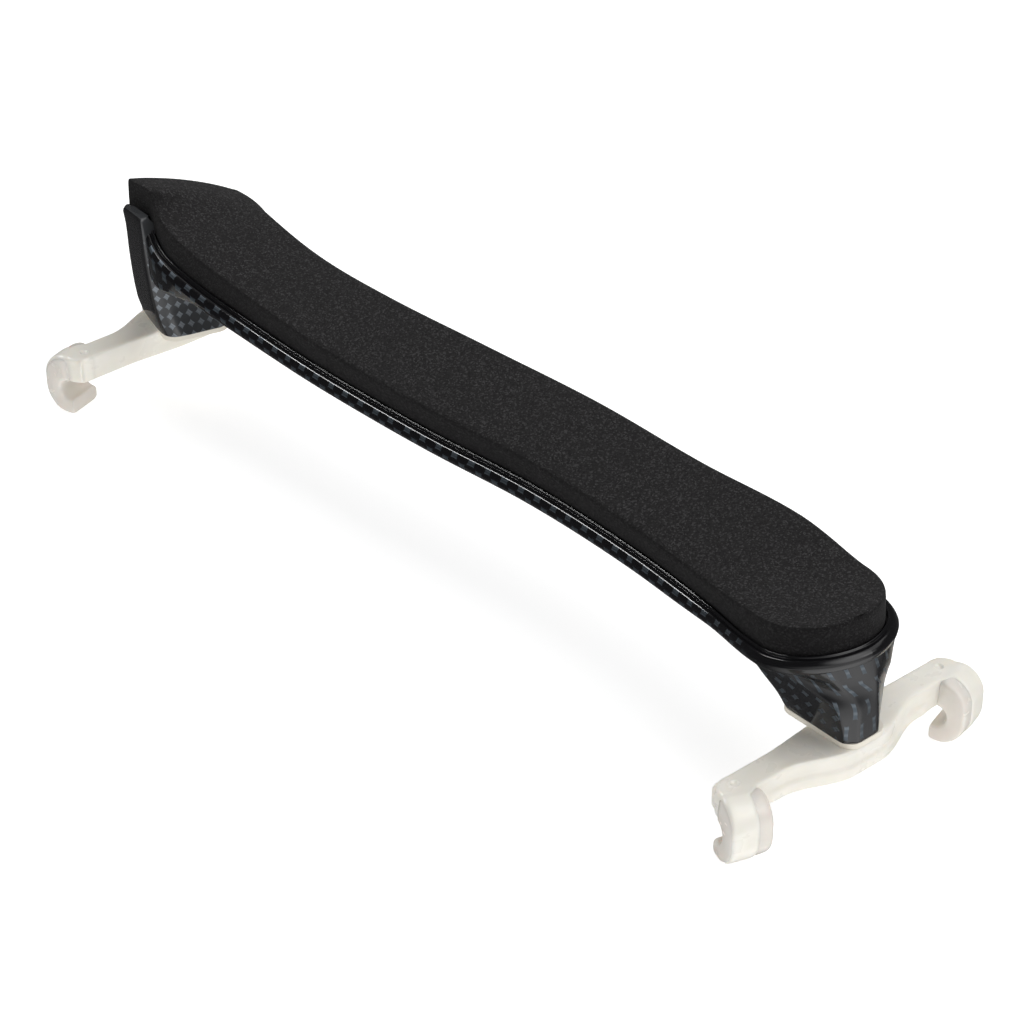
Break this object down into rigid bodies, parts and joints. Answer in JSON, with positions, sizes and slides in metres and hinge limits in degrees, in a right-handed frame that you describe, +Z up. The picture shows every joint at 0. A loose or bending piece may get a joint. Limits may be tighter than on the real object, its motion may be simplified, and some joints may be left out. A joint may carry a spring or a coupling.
{
  "type": "violin shoulder rest",
  "caption": "Padded, slightly twisted shoulder rest board on moulded legs, each with a swivelling hooked yoke that grips the edge of a violin.",
  "frame": {"origin": "on the ground plane, midway between the outermost points of the two yokes' hooks", "axes": "+X along the board towards its round end, +Y across the board towards its far edge, +Z up from the hooks to the pad"},
  "size_m": [0.222, 0.0676, 0.0483],
  "materials": {
    "printed_board": "gloss black with a small grey check print under a clear coat",
    "foam": "fine-celled charcoal foam, matt",
    "adhesive": "double-sided adhesive film",
    "base_plate": "satin cream plastic",
    "brass_parts": "turned brass",
    "steel_parts": "zinc-plated steel",
    "yoke_plastic": "milky translucent moulding",
    "grip": "clear soft over-moulding, slightly hazy"
  },
  "bodies": {
    "rest": {"board": "printed_board", "pad": "foam", "pad_adhesive": "adhesive", "left_base_plate": "base_plate", "right_base_plate": "base_plate"},
    "left_carriage": {"left_slide_nut": "brass_parts", "left_clamp_screw": "steel_parts", "left_washer": "steel_parts", "left_bush": "brass_parts", "left_friction_ring": "steel_parts"},
    "right_carriage": {"right_slide_nut": "brass_parts", "right_clamp_screw": "steel_parts", "right_washer": "steel_parts", "right_bush": "brass_parts", "right_friction_ring": "steel_parts"},
    "left_foot": {"left_yoke": "yoke_plastic", "left_near_grip": "grip", "left_far_grip": "grip"},
    "right_foot": {"right_yoke": "yoke_plastic", "right_near_grip": "grip", "right_far_grip": "grip"}
  },
  "joints": [
    {"name": "left_width", "type": "slide", "parent": "rest", "child": "left_carriage", "axis": [-1, 0, 0], "range_m": [-0.005, 0]},
    {"name": "left_swivel", "type": "hinge", "parent": "left_carriage", "child": "left_foot", "pos_m": [-0.103, 0, 0.013], "axis": [0, 0, 1], "range_deg": [-20, 20]},
    {"name": "right_width", "type": "slide", "parent": "rest", "child": "right_carriage", "axis": [1, 0, 0], "range_m": [-0.005, 0]},
    {"name": "right_swivel", "type": "hinge", "parent": "right_carriage", "child": "right_foot", "pos_m": [0.103, 0, 0.013], "axis": [0, 0, 1], "range_deg": [-20, 20]}
  ]
}
